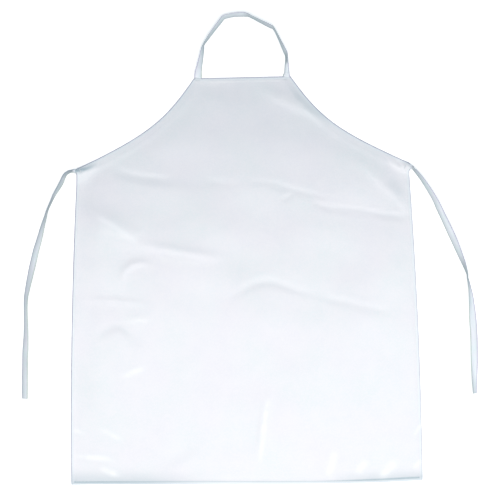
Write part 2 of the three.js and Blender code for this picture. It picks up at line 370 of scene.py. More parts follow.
def tape_material():
    """Narrow doubled tape of the same cloth, with a row of stitches along one edge."""
    material, tree, shader = new_material("coated tape")
    along, across = attribute(tree, "along"), attribute(tree, "across")
    vector = add_node(tree, "ShaderNodeCombineXYZ")
    tree.links.new(along, vector.inputs["X"])
    tree.links.new(calculate(tree, "MULTIPLY", across, TAPE_WIDTH / 2), vector.inputs["Y"])
    place = vector.outputs["Vector"]
    blotches = ramp(tree, noise(tree, place, 22, 3, 0.6), 0.3, 0.7)
    colour = mix_colours(tree, blotches, TAPE_LILAC, TAPE_BLUE)
    # Painted shade along the tape's edges: lilac on the edge turned away from the apron, green on the edge
    # towards it.
    outward = attribute(tree, "outward")
    colour = mix_colours(tree, ramp(tree, outward, 0.55, 0.95, 0, 0.85), colour, TAPE_LILAC_EDGE_SHADE)
    colour = mix_colours(tree, ramp(tree, outward, -0.55, -0.95, 0, 0.85), colour, TAPE_GREEN_EDGE_SHADE)
    # Painted shade where the tape stands on its edge.
    colour = mix_colours(tree, attribute(tree, "shade"), colour, TAPE_SHADE_COLOUR)
    tree.links.new(colour, shader.inputs["Base Color"])
    shader.inputs["Roughness"].default_value = 0.34
    shader.inputs["Coat Weight"].default_value = 0.15
    shader.inputs["Coat Roughness"].default_value = 0.25
    row = calculate(tree, "ABSOLUTE", calculate(tree, "SUBTRACT", across, TAPE_STITCH_ROW))
    row = ramp(tree, row, 0.03, 0.09, 1, 0)
    phase = calculate(tree, "FRACT", calculate(tree, "DIVIDE", along, STITCH_PITCH))
    dash = ramp(tree, calculate(tree, "ABSOLUTE", calculate(tree, "SUBTRACT", phase, 0.5)), 0.3, 0.4, 1, 0)
    stitches = calculate(tree, "MULTIPLY", row, dash)
    creases = bump(tree, noise(tree, place, 60, 3, 0.55), TAPE_CREASE_DEPTH)
    sewn = bump(tree, stitches, TAPE_STITCH_DEPTH, creases)
    threads = bump(tree, weave(tree, place, TAPE_WEAVE_PITCH), WEAVE_DEPTH, sewn)
    tree.links.new(threads, shader.inputs["Normal"])
    return material


def thread_material():
    """White sewing thread with a fine twist and a little fuzz."""
    material, tree, shader = new_material("sewing thread")
    place = object_coordinates(tree)
    colour = mix_colours(tree, noise(tree, place, 400, 2), THREAD_GREY, THREAD_WHITE)
    tree.links.new(colour, shader.inputs["Base Color"])
    shader.inputs["Roughness"].default_value = 0.65
    shader.inputs["Sheen Weight"].default_value = 0.3
    twist = add_node(
        tree, "ShaderNodeTexWave", {"Scale": 700, "Distortion": 1.5}, bands_direction="DIAGONAL"
    )
    tree.links.new(place, twist.inputs["Vector"])
    tree.links.new(bump(tree, twist.outputs["Fac"], TWIST_DEPTH), shader.inputs["Normal"])
    return material


def floor_material():
    material, tree, shader = new_material("white table")
    colour = mix_colours(tree, noise(tree, object_coordinates(tree), 3, 2), FLOOR_GREY, FLOOR_WHITE)
    tree.links.new(colour, shader.inputs["Base Color"])
    shader.inputs["Roughness"].default_value = 0.9
    shader.inputs["Specular IOR Level"].default_value = 0.0
    shader.inputs["Emission Color"].default_value = (1, 1, 1, 1)
    shader.inputs["Emission Strength"].default_value = FLOOR_GLOW
    return material


# ------------------------------------------------------------------ the free tapes

SECTION_STEPS = 10
LEFT_OF_LINE, RIGHT_OF_LINE = 1, -1
NECK_CURL = math.radians(24)
NECK_BUNCH = math.radians(80)  # the strap is gathered where it leaves the right bib corner
TIE_BUNCH = math.radians(105)  # the ties are drawn together under the corners
TIE_ROOTS = {  # hidden under the corners: x, y (mm) and roll (degrees), before the route
    LEFT: [(-421, 801.5, 0), (-428, 801.3, 12)],
    RIGHT: [(421, 803, 0), (428, 801.8, 12)],
}


def tape_section(curl):
    """Points round a tape's section (across, up), and where each lies across, from -1 to 1.
    The tape arches by the angle curl to each side of its middle."""
    share = np.linspace(-1, 1, SECTION_STEPS + 1)
    half = TAPE_WIDTH / 2
    if curl < 1e-3:
        middle = np.column_stack([share * half, 0 * share])
        angle = 0 * share
    else:
        angle = share * curl
        radius = half / curl
        middle = radius * np.column_stack([np.sin(angle), np.cos(angle) - (1 + math.cos(curl)) / 2])
    normal = np.column_stack([np.sin(angle), np.cos(angle)]) * TAPE_THICKNESS / 2
    along_edge = np.column_stack([np.cos(angle), -np.sin(angle)]) * TAPE_THICKNESS / 2
    points = [*(middle + normal), middle[-1] + along_edge[-1]]
    points += [*(middle - normal)[::-1], middle[0] - along_edge[0]]
    return np.array(points), np.array([*share, 1, *share[::-1], -1])


def tape_piece(name, line, curls, outer_side, material):
    """A tape along line (x, y, roll), lying on the surface and arched by its curl at each point.
    outer_side is the side of the line (1 left, -1 right) that is turned away from the apron.
    Returns the piece and the line of its middle."""
    heading = np.gradient(line[:, :2], axis=0)
    heading /= np.linalg.norm(heading, axis=1)[:, None]
    distance = lengths_along(line[:, :2])
    shade = edge_on_shade(line)
    points, across_values, along_values, outward_values, shades, middles = [], [], [], [], [], []
    for i, (x, y, roll) in enumerate(line):
        level = np.array([-heading[i, 1], heading[i, 0], 0])
        across = level * math.cos(roll) + np.array([0, 0, math.sin(roll)])
        up = np.array([0, 0, math.cos(roll)]) - level * math.sin(roll)
        section, share = tape_section(curls[i])
        ring = section[:, :1] * across + section[:, 1:] * up
        reach = ring @ level
        ring -= level * (reach.max() + reach.min()) / 2
        centre = np.array([x, y, -ring[:, 2].min()])
        points.append(ring + centre)
        middles.append(centre)
        across_values.append(share)
        along_values.append(np.full(len(share), distance[i]))
        # Which edge of the tape gets the lilac and which the green painted shade.
        outward_values.append(share * outer_side * math.tanh(4 * math.cos(roll)))
        shades.append(np.full(len(share), shade[i]))
    count = len(across_values[0])
    faces = []
    for i in range(len(line) - 1):
        a, b = i * count, (i + 1) * count
        faces += [(a + k, b + k, b + (k + 1) % count, a + (k + 1) % count) for k in range(count)]
    last = (len(line) - 1) * count
    faces.append(tuple(range(count)))
    faces.append(tuple(range(last, last + count))[::-1])
    piece = mesh_piece(
        name, np.vstack(points), faces, material,
        across=np.concatenate(across_values), along=np.concatenate(along_values),
        outward=np.concatenate(outward_values), shade=np.concatenate(shades),
    )
    return piece, np.array(middles)


def smooth_wave(count, repeats, phase):
    """Numbers near 1 that rise and fall along a tape."""
    t = np.linspace(0, 1, count)
    slow = 0.25 * np.sin(2 * math.pi * (repeats * t + phase))
    quick = 0.15 * np.sin(5.3 * math.pi * repeats * t)
    return 1 + slow + quick


def edge_on_shade(line):
    """How much painted shade darkens a tape where it stands on its edge."""
    return 0.45 * smoothstep(np.abs(np.sin(line[:, 2])), 0.8, 1.0)


def neck_tape(material):
    line = curve_through(row_frame(NECK_ROUTE), STEPS_BETWEEN_POINTS)
    distance = lengths_along(line[:, :2])
    from_end = distance[-1] - distance
    from_root = np.minimum(distance, from_end)
    curls = NECK_CURL * smoothstep(from_root, 5 * MM, 60 * MM) * smooth_wave(len(line), 3, 0.2)
    gathered = smoothstep(from_end, 1 * MM, 11 * MM) * (1 - smoothstep(from_end, 24 * MM, 44 * MM))
    curls += NECK_BUNCH * gathered
    piece, middle = tape_piece("neck_tape", line, curls, LEFT_OF_LINE, material)
    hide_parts("neck_strap")
    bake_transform(piece)
    return piece


def waist_tie(name, side, route, curl, wave, material):
    """A tie with its bunched root under the panel's corner. curl is in degrees; wave is how many times
    the curl rises and falls along the tie, and its phase."""
    root = TIE_ROOTS[side]
    line = curve_through(row_frame(root + route), STEPS_BETWEEN_POINTS)
    distance = lengths_along(line[:, :2])
    curls = math.radians(curl) * smoothstep(distance, 4 * MM, 45 * MM) * smooth_wave(len(line), *wave)
    bunched = smoothstep(distance, 0, 5 * MM) * (1 - smoothstep(distance, 10 * MM, 18 * MM))
    curls += TIE_BUNCH * bunched
    outer_side = RIGHT_OF_LINE if side == LEFT else LEFT_OF_LINE
    piece, middle = tape_piece(name, line, curls, outer_side, material)
    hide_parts("waist_" + name)
    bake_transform(piece)
    return piece


# ------------------------------------------------------------------ outline of the body

def from_bottom(points):
    """Points given in mm above the bottom edge, as metres in the row frame."""
    p = np.array(points, float) * MM
    p[:, 1] += BOTTOM_Y
    return p


def side_edge(side):
    """From the bottom edge up to the corner, leaning in by the square of its height."""
    y = np.linspace(-BOTTOM_SAG, SIDE_TOP, round(SIDE_TOP / EDGE_STEP) + 1)
    lean = (HALF_HEM - WAIST_CORNER[0]) * (y / (WAIST_CORNER[1] - BOTTOM_Y)) ** 2
    return np.column_stack([side * (HALF_HEM - lean), BOTTOM_Y + y])


def corner_edge(side):
    """From the side edge, round the corner's end, to the armhole."""
    return from_bottom(curve_through(CORNERS[side], 3)) * (side, 1)


def armhole_edge(side):
    """One cubic curve from the side corner to the bib corner."""
    waist_slope, bib_slope = ARMHOLE_SLOPES
    waist_handle, bib_handle = ARMHOLE_HANDLES
    a = from_bottom(CORNERS[side])[-1]
    d = np.array([HALF_BIB + BIB_SPREAD[side], TOP_Y + BIB_RISE[side]])
    b = a + waist_handle * np.array([-math.cos(waist_slope), math.sin(waist_slope)])
    c = d + bib_handle * np.array([math.cos(bib_slope), -math.sin(bib_slope)])
    t = np.linspace(0, 1, ARMHOLE_STEPS + 1)[:, None]
    curve = a * (1 - t) ** 3 + 3 * b * t * (1 - t) ** 2 + 3 * c * t**2 * (1 - t) + d * t**3
    return curve * (side, 1)


def bottom_edge():
    """The bottom edge, bowed down most in its right half."""
    x = np.linspace(-HALF_HEM, HALF_HEM, round(2 * HALF_HEM / EDGE_STEP) + 1)
    share = (x + HALF_HEM) / (2 * HALF_HEM)
    return np.column_stack([x, BOTTOM_Y - BOTTOM_SAG - BOTTOM_BOW * np.sin(math.pi * share**2)])


def bib_edge():
    right, left = HALF_BIB + BIB_SPREAD[RIGHT], -HALF_BIB - BIB_SPREAD[LEFT]
    x = np.linspace(right, left, round((right - left) / EDGE_STEP) + 1)
    return np.column_stack([x, TOP_Y + np.linspace(BIB_RISE[RIGHT], BIB_RISE[LEFT], len(x))])


# Every edge runs anticlockwise, with the cloth on its left.
EDGES = {
    "bottom": bottom_edge(),
    "side_right": side_edge(RIGHT),
    "corner_right": corner_edge(RIGHT),
    "armhole_right": armhole_edge(RIGHT),
    "bib": bib_edge(),
    "armhole_left": armhole_edge(LEFT)[::-1],
    "corner_left": corner_edge(LEFT)[::-1],
    "side_left": side_edge(LEFT)[::-1],
}
OUTLINE = np.vstack([edge[:-1] for edge in EDGES.values()])
CLOSED_OUTLINE = np.vstack([OUTLINE, OUTLINE[:1]])


def nearest_on(points, line, reach=math.inf):
    """For each point: its distance to the line, how far along the line that is (0 to 1), and which
    side it lies on (positive to the left). A point farther than reach may count as infinitely far."""
    best = np.full(len(points), np.inf)
    share = np.zeros(len(points))
    sign = np.ones(len(points))
    along = lengths_along(line)
    for i, (a, b) in enumerate(zip(line, line[1:])):
        low, high = np.minimum(a, b) - reach, np.maximum(a, b) + reach
        near = np.flatnonzero(np.all((points >= low) & (points <= high), axis=1))
        step = b - a
        t = np.clip((points[near] - a) @ step / (step @ step), 0, 1)
        gap = points[near] - a - t[:, None] * step
        distance = np.hypot(gap[:, 0], gap[:, 1])
        closer = distance < best[near]
        found = near[closer]
        best[found] = distance[closer]
        share[found] = (along[i] + t[closer] * (along[i + 1] - along[i])) / along[-1]
        sign[found] = np.sign(step[0] * gap[closer, 1] - step[1] * gap[closer, 0])
    return best, share, sign


def inside(points, loop):
    """Whether each point lies inside a closed line, by counting the edges to its right."""
    found = np.zeros(len(points), bool)
    for a, b in zip(loop, np.roll(loop, -1, axis=0)):
        spans = (points[:, 1] >= a[1]) != (points[:, 1] >= b[1])
        x = a[0] + (points[spans, 1] - a[1]) * (b[0] - a[0]) / (b[1] - a[1])
        found[spans] ^= points[spans, 0] < x
    return found


def inset_line(edge, inset, start=0.0, end=1.0, step=EDGE_STEP):
    """The line that runs inside an edge at a distance, between two shares of its length."""
    along = lengths_along(edge)
    count = max(2, round((end - start) * along[-1] / step) + 1)
    at = np.linspace(start, end, count) * along[-1]
    points = np.column_stack([np.interp(at, along, edge[:, k]) for k in (0, 1)])
    heading = np.gradient(points, axis=0)
    heading /= np.linalg.norm(heading, axis=1)[:, None]
    return points + inset * np.column_stack([-heading[:, 1], heading[:, 0]])


# ------------------------------------------------------------------ how the cloth lies

# Folds of the cloth: points (mm: x, above the bottom edge, height), and how wide the fold is to the
# left and the right of that line (mm). A negative height is a valley.
FOLDS = [
    # waves across the chest
    ([(-341, 812, 0), (-307, 795, -0.9), (-256, 783, -1.3), (-179, 775, -1.3), (-93, 770, -1),
      (-25, 767, -0.4), (26, 769, 0)], 9, 12),
    ([(-8, 774, 0), (60, 766, -0.7), (120, 750, -1.1), (171, 735, -0.7), (222, 728, 0)], 8, 9),
    ([(137, 742, 0), (116, 729, -1.2), (98, 715, 0)], 6, 7),
    ([(171, 716, 0), (213, 701, -1), (282, 691, -1.2), (350, 681, -1.4), (428, 670, -1)], 7, 8),
    # left side, below the armhole
    ([(-414, 728, 0), (-368, 689, 0.9), (-326, 665, 1.3), (-287, 634, 1.5), (-271, 622, 0)], 24, 9),
    ([(-326, 611, 0), (-258, 608, 0.8), (-173, 595, 1.3), (-87, 580, 1), (-45, 573, 0)], 19, 10),
    ([(-309, 487, 0), (-312, 526, 1), (-297, 555, 1.5), (-267, 565, 1.5), (-237, 554, 0)], 9, 10),
    ([(-437, 472, 0.4), (-371, 471, 0.8), (-302, 466, 0.7), (-234, 456, 0)], 8, 10),
    ([(-320, 412, 0), (-286, 417, 0.7), (-259, 418, 0.9), (-239, 413, 0)], 10, 8),
    ([(-372, 368, 0), (-350, 394, -1), (-327, 403, -1.5), (-299, 389, -1.5), (-274, 363, -0.8),
      (-235, 371, 0)], 9, 11),
    ([(-331, 265, 0), (-309, 280, 1.2), (-283, 288, 1.4), (-253, 298, 0)], 16, 9),
    # middle
    ([(-63, 462, 0), (-20, 483, -0.8), (23, 506, -1.2), (61, 512, -1.3), (108, 499, -1.2), (164, 477, -0.9),
      (227, 463, -0.8), (330, 440, -0.7), (381, 427, 0)], 10, 13),
    ([(59, 234, 0), (53, 209, 2.1), (44, 158, 2.6), (36, 106, 2.3), (29, 38, 0)], 16, 10),
    # bib and right armhole
    ([(38, 1011, 0), (106, 977, 2.4), (174, 947, 2), (242, 911, 0)], 16, 13),
    ([(296, 830, 0), (334, 786, 1.8), (372, 747, 2.1), (423, 695, 0.8)], 26, 13),
    ([(369, 835, 0), (388, 811, 1.6), (413, 790, 0)], 7, 7),
    # the two corners, lifted by their ties
    ([(-432, 801, 8), (-412, 806, 6.5), (-392, 815, 3.5), (-366, 826, 0)], 10, 20),
    ([(434, 801, 8.5), (424, 804, 6), (405, 811, 0)], 12, 12),
    # bottom edge
    ([(-434, 68, 0.4), (-389, 65, 1.6), (-338, 58, 0)], 14, 8),
    ([(-385, 44, 0), (-351, 33, 1.6), (-320, 19, 0.4)], 14, 8),
    ([(-214, 20, 0), (-175, 58, -1.3), (-132, 96, 0)], 14, 14),
    ([(221, 78, 0), (214, 48, 2.2), (205, 10, 0.4)], 11, 12),
    ([(301, 52, 0), (294, 35, 2.2), (285, 13, 0.4)], 11, 12),
    ([(376, 42, 0), (357, 27, 2.2), (335, 8, 0.4)], 11, 12),
]
# Strokes of painted shade, where the cloth turns away from the light or lies in shadow, and a broad one over
# the bib: points (mm), half width (mm) and strength.
SHADES = [
    ([(-485, 797), (-432, 801), (-405, 806), (-390, 812), (-366, 824)], 5, 0.9),
    ([(100, 1046), (117, 1024), (162, 966), (250, 900)], 11, 0.26),
    ([(365, 778), (392, 748), (422, 722)], 14, 0.14),
    ([(-700, 12), (-446, 8), (-220, 3), (-40, 1)], 21, 0.38),
    ([(-600, 5), (-446, 5), (-240, 0), (-60, -2)], 1.8, 0.3),
    ([(160, 2), (340, 5), (446, 7), (640, 9)], 14, 0.3),
    ([(160, -2), (340, 2), (446, 6), (640, 9)], 1.8, 0.5),
    ([(-1500, 965), (0, 965), (1500, 965)], 190, 0.09),
    ([(-400, 815), (-270, 778), (-178, 768), (-50, 766)], 14, 0.08),
    ([(-470, 735), (-362, 690), (-270, 632)], 22, 0.09),
    ([(-290, 628), (-170, 602), (-30, 578)], 9, 0.08),
    ([(-20, 480), (66, 505), (110, 493), (220, 457), (330, 438)], 7, 0.08),
    ([(170, 708), (282, 692), (350, 682), (500, 660)], 7, 0.08),
    ([(-390, 352), (-350, 395), (-326, 402), (-290, 370)], 8, 0.1),
    ([(-260, 20), (-175, 58), (-90, 110)], 16, 0.07),
]
# Painted glints along small creases, where their gloss would catch the light: points (mm), half width (mm)
# and strength.
PAINTED_GLINTS = [
    ([(59, 238), (50, 175), (41, 106), (30, 28)], 6, 0.7),
    ([(230, 84), (217, 42), (206, 2)], 9, 0.7),
    ([(309, 56), (294, 34), (280, 12)], 9, 0.66),
    ([(390, 52), (361, 26), (334, 2)], 10, 0.66),
    ([(452, 54), (438, 39), (424, 25)], 6, 0.49),
    ([(456, 152), (440, 129), (426, 108)], 5, 0.49),
    ([(-452, 71), (-385, 67), (-328, 57)], 6, 0.7),
    ([(-386, 43), (-349, 29), (-316, 15)], 7, 0.7),
    ([(-385, 146), (-344, 124), (-305, 103)], 6, 0.39),
    ([(-450, 142), (-429, 134), (-408, 125)], 5, 0.42),
    ([(-330, 268), (-296, 282), (-248, 299)], 8, 0.56),
    ([(-326, 412), (-278, 421), (-230, 414)], 9, 0.49),
    ([(372, 838), (400, 803), (428, 768)], 14, 0.42),
    ([(-375, 649), (-314, 635), (-262, 624)], 9, 0.35),
    ([(-150, 1029), (-69, 1023), (8, 1018)], 10, 0.32),
    ([(40, 997), (123, 975), (215, 938)], 11, 0.24),
    ([(-260, 580), (-170, 566), (-60, 556)], 9, 0.21),
]
# A line of painted shade along the bottom hem: distance from the edge (mm), half width (mm) and strength.
HEM_SHADOW_LINE = (7, 1.5, 0.5)
PUFF = 1.7 * MM
RIPPLE = 0.9 * MM
RIPPLE_LENGTHS = (110 * MM, 420 * MM)
RIPPLE_COUNT = 26
RIPPLE_START = 70 * MM  # from the edge; nearer to it, the waves fade away


def make_ripples():
    """Directions, lengths and phases of the broad waves that the cloth keeps from being folded away."""
    ripples = []
    for _ in range(RIPPLE_COUNT):
        length = random.uniform(*RIPPLE_LENGTHS)
        direction = random.uniform(0, math.pi)
        ripples.append((math.cos(direction) / length, math.sin(direction) / length, random.uniform(0, 1)))
    return ripples


RIPPLES = make_ripples()


def lift(points):
    """How high the cloth lies above the surface at each point (x, y)."""
    edge_distance = nearest_on(points, CLOSED_OUTLINE, RIPPLE_START)[0]
    waves = sum(np.sin(2 * math.pi * (points[:, 0] * u + points[:, 1] * v + w)) for u, v, w in RIPPLES)
    broad = PUFF + RIPPLE * waves / math.sqrt(RIPPLE_COUNT / 2)
    height = broad * smoothstep(edge_distance, 4 * MM, RIPPLE_START)
    for corners, left, right in FOLDS:
        curve = curve_through(corners, 6)
        reach = 3 * max(left, right) * MM
        distance, share, sign = nearest_on(points, from_bottom(curve[:, :2]), reach)
        along = lengths_along(curve[:, :2])
        top = np.interp(share, along / along[-1], curve[:, 2]) * MM
        width = np.where(sign > 0, left, right) * MM
        height += top * np.exp(-((distance / width) ** 2))
    soft = 0.25 * MM
    return (height + np.sqrt(height**2 + soft**2)) / 2 - soft / 2


HEM_STEP = 10.6 * MM  # how far in from the edge the cloth steps down off its hem
TAPE_STEP = TAPE_WIDTH + 7 * MM
TAPE_STEP_BLUR = 14 * MM
CLEARANCE = 0.05 * MM


def step_down(points, edge_names, width, blur=1.6 * MM):
    """1 within width of those edges, falling to 0 round it over the blur; and the distance to them."""
    reach = 2 * width
    nearest = np.min([nearest_on(points, EDGES[name], reach)[0] for name in edge_names], axis=0)
    return 1 - smoothstep(nearest, width - blur / 2, width + blur / 2), nearest


SEAM_GROOVE = 0.08 * MM


def groove(distance, at):
    """How deep a seam pulls the cloth down, at a distance from the edge."""
    return SEAM_GROOVE * np.exp(-(((distance - at) / (0.7 * MM)) ** 2))


def panel_height(points):
    """Height of the middle of the panel's cloth: on its hems and tapes near the edges, lower inside."""
    over_hem, from_hem = step_down(points, ("bottom", "side_left", "side_right", "bib"), HEM_STEP)
    over_tape, from_tape = step_down(points, ("armhole_left", "armhole_right"), TAPE_STEP, TAPE_STEP_BLUR)
    under = np.maximum(over_hem * (HEM_THICKNESS + CLEARANCE), over_tape * (TAPE_THICKNESS + CLEARANCE))
    seams = groove(from_hem, SEAM_INSET)
    for inset in TAPE_SEAM_INSETS.values():
        seams = seams + groove(from_tape, inset)
    folded = (1 - smoothstep(from_hem, 0, 1.3 * MM)) * over_hem * HEM_THICKNESS * 0.55
    return lift(points) + under + CLOTH_THICKNESS / 2 - seams - folded


def panel_points():
    """Points of the panel: its outline, rings inside it that follow the hems, and an even grid."""
    groups = [OUTLINE]
    for ring in EDGE_RINGS:
        inset = ring * MM
        for edge in EDGES.values():
            line = inset_line(edge, inset)
            clear = nearest_on(line, CLOSED_OUTLINE, 2 * inset)[0] > 0.985 * inset
            groups.append(line[clear])
    x = np.arange(-HALF_HEM, HALF_HEM, GRID_STEP)
    y = np.arange(BOTTOM_Y, TOP_Y, GRID_STEP)
    grid = np.array(np.meshgrid(x, y)).reshape(2, -1).T
    grid[:, 0] += GRID_STEP / 2 * (np.round((grid[:, 1] - BOTTOM_Y) / GRID_STEP) % 2)
    distance = nearest_on(grid, CLOSED_OUTLINE, GRID_INSET)[0]
    groups.append(grid[(distance > GRID_INSET) & inside(grid, OUTLINE)])
    return np.vstack(groups)


def triangulate(points):
    """The points and triangles of the panel, cut off along its outline."""
    loop = list(range(len(OUTLINE)))
    flat, _, faces, *_ = delaunay_2d_cdt([tuple(p) for p in points], [], [loop], 1, 1e-6)
    return np.array([tuple(p) for p in flat]), [tuple(f) for f in faces]


def rim_of(faces):
    """The directed edges that only one face has, as a closed loop of point numbers."""
    directed = {(f[k], f[(k + 1) % len(f)]) for f in faces for k in range(len(f))}
    following = {a: b for a, b in directed if (b, a) not in directed}
    loop = [next(iter(following))]
    while following[loop[-1]] != loop[0]:
        loop.append(following[loop[-1]])
    return loop


ROOTS = [(-114.5, 1035), (114.5, 1035), (-434.5, 802), (434.5, 802)]  # where the tapes leave (mm)


def panel(material):
    flat, faces = triangulate(panel_points())
    middle = panel_height(flat)
    half = CLOTH_THICKNESS / 2
    count = len(flat)
    rim = rim_of(faces)
    points = np.vstack([
        np.column_stack([flat, middle + half]),
        np.column_stack([flat, middle - half]),
        np.column_stack([flat[rim], middle[rim]]),
    ])
    edge_middle = {p: 2 * count + k for k, p in enumerate(rim)}
    all_faces = list(faces)
    all_faces += [tuple(p + count for p in f[::-1]) for f in faces]
    for a, b in zip(rim, rim[1:] + rim[:1]):
        all_faces.append((b, a, edge_middle[a], edge_middle[b]))
        all_faces.append((edge_middle[b], edge_middle[a], a + count, b + count))
    from_edge = np.minimum(nearest_on(flat, CLOSED_OUTLINE, GRID_INSET)[0] / MM, 100)
    # Painted shade along the edges: none by the tapes' roots or along the bottom edge, and less along the
    # right side.
    wear = np.ones(count)
    for root in from_bottom(ROOTS):
        wear *= smoothstep(np.linalg.norm(flat - root, axis=1), 7 * MM, 10 * MM)
    wear *= smoothstep(nearest_on(flat, EDGES["bottom"], 10 * MM)[0], 3 * MM, 8 * MM)
    wear *= np.where(nearest_on(flat, EDGES["side_right"], 10 * MM)[0] < 5 * MM, 0.55, 1)
    # Painted shade: on the sides of steep folds, in listed strokes and along the bottom hem.
    shade = painted_shade_share(flat)
    # Painted glints along small creases.
    whitened = np.minimum(painted(flat, PAINTED_GLINTS), 1)
    piece = mesh_piece(
        "apron_panel", points, all_faces, material,
        from_edge=np.concatenate([from_edge, from_edge, from_edge[rim]]),
        edge_wear=np.concatenate([wear, wear, wear[rim]]),
        shade=np.concatenate([shade, 0 * shade, shade[rim]]),
        whitened=np.concatenate([whitened, 0 * whitened, whitened[rim]]),
    )
    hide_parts("body_panel")
    return piece


def steepness(flat):
    """0 where the cloth lies nearly level, rising towards 1 on the side of a sharp fold; it is painted as
    shade there.
    """
    step = 1 * MM
    across = (lift(flat + (step, 0)) - lift(flat - (step, 0))) / (2 * step)
    along = (lift(flat + (0, step)) - lift(flat - (0, step))) / (2 * step)
    return 0.6 * smoothstep(np.hypot(across, along), 0.5, 1.4)


def painted(flat, marks):
    """How strongly each point is covered by soft strokes given as (points, half width, strength)."""
    total = np.zeros(len(flat))
    for corners, width, strength in marks:
        line = curve_through(from_bottom(corners), 4)
        distance, share, _ = nearest_on(flat, line, 3 * width * MM)
        ends = smoothstep(np.minimum(share, 1 - share), 0, 0.4)
        total += strength * ends * np.exp(-((distance / MM / width) ** 2))
    return total


def painted_shade_share(flat):
    """How much painted shade each point of the panel gets, from 0 to 1: on the sides of steep folds, in the
    listed strokes and along the bottom hem.
    """
    inset, width, strength = HEM_SHADOW_LINE
    distance = nearest_on(flat, EDGES["bottom"], 20 * MM)[0] / MM
    hem_shadow = strength * np.exp(-(((distance - inset) / width) ** 2))
    return np.minimum(steepness(flat) + painted(flat, SHADES) + hem_shadow, 1)


# ------------------------------------------------------------------ hems and armhole tapes

def strip_piece(name, line, width, thickness, material, replaced):
    """A strip under the panel, centred on a line and lying as the cloth lies."""
    shares = np.linspace(-1, 1, 7)
    heading = np.gradient(line, axis=0)
    heading /= np.linalg.norm(heading, axis=1)[:, None]
    left = np.column_stack([-heading[:, 1], heading[:, 0]])
    rows = [line + left * share * (width / 2) for share in shares[::-1]]
    low = np.array([np.column_stack([row, lift(row) + 0.02 * MM]) for row in rows])
    high = low + (0, 0, thickness)
    bulge = [low[0] + high[0], low[-1] + high[-1]]
    left_edge = bulge[0] / 2 + np.column_stack([left, 0 * left[:, 0]]) * thickness / 3
    right_edge = bulge[1] / 2 - np.column_stack([left, 0 * left[:, 0]]) * thickness / 3
    rings = np.array([*high, right_edge, *low[::-1], left_edge])
    around, count = rings.shape[:2]
    points = rings.transpose(1, 0, 2).reshape(-1, 3)
    across = np.array([*-shares, 1, *shares, -1])
    faces = []
    for i in range(count - 1):
        a, b = i * around, (i + 1) * around
        faces += [(a + k, b + k, b + (k + 1) % around, a + (k + 1) % around) for k in range(around)]
    last = (count - 1) * around
    faces.append(tuple(range(around)))
    faces.append(tuple(range(last, last + around))[::-1])
    distance = lengths_along(line)
    piece = mesh_piece(
        name, points, faces, material,
        across=np.tile(across, count), along=np.repeat(distance, around),
        from_edge=np.full(len(points), 12), edge_wear=np.zeros(len(points)),
        shade=np.zeros(len(points)),
    )
    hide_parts(replaced)
    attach(piece, "apron")
    return piece


# Each hem: its edge, the node that it replaces, and the shares of the edge that it runs between.
HEMS = [
    ("bottom", "bottom_hem", 0.003, 0.997),
    ("bib", "bib_hem", 0.08, 0.92),
    ("side_left", "side_hem_left", 0.012, 0.985),
    ("side_right", "side_hem_right", 0.015, 0.988),
]
HEM_INSET = 0.8 * MM + HEM_WIDTH / 2  # from the edge to the middle of the hem
HEM_STRIP_WIDTH = HEM_WIDTH - 0.6 * MM
TAPE_INSET = 0.5 * MM + TAPE_WIDTH / 2


def hems(material):
    pieces = []
    for name, replaced, start, end in HEMS:
        line = inset_line(EDGES[name], HEM_INSET, start, end)
        piece = strip_piece("hem_" + name, line, HEM_STRIP_WIDTH, HEM_THICKNESS, material, replaced)
        pieces.append(piece)
    return pieces


def armhole_tapes(material):
    """Each tape follows its armhole and ends under the bib's top edge."""
    pieces = []
    for name, side in SIDES.items():
        edge = EDGES["armhole_" + name] if side == RIGHT else EDGES["armhole_" + name][::-1]
        line = inset_line(edge, TAPE_INSET * side, 0, 0.95)
        end_x = side * (HALF_BIB - TAPE_INSET)
        line = np.vstack([line, [(end_x, TOP_Y - 7 * MM), (end_x, TOP_Y)]])
        along = lengths_along(line)
        at = np.linspace(0, along[-1], round(along[-1] / EDGE_STEP) + 1)
        line = np.column_stack([np.interp(at, along, line[:, k]) for k in (0, 1)])
        piece = strip_piece(
            "armhole_binding_" + name, line, TAPE_WIDTH, TAPE_THICKNESS, material, "armhole_tape_" + name
        )
        pieces.append(piece)
    return pieces


# ------------------------------------------------------------------ stitching

STITCH_SIDES = 6


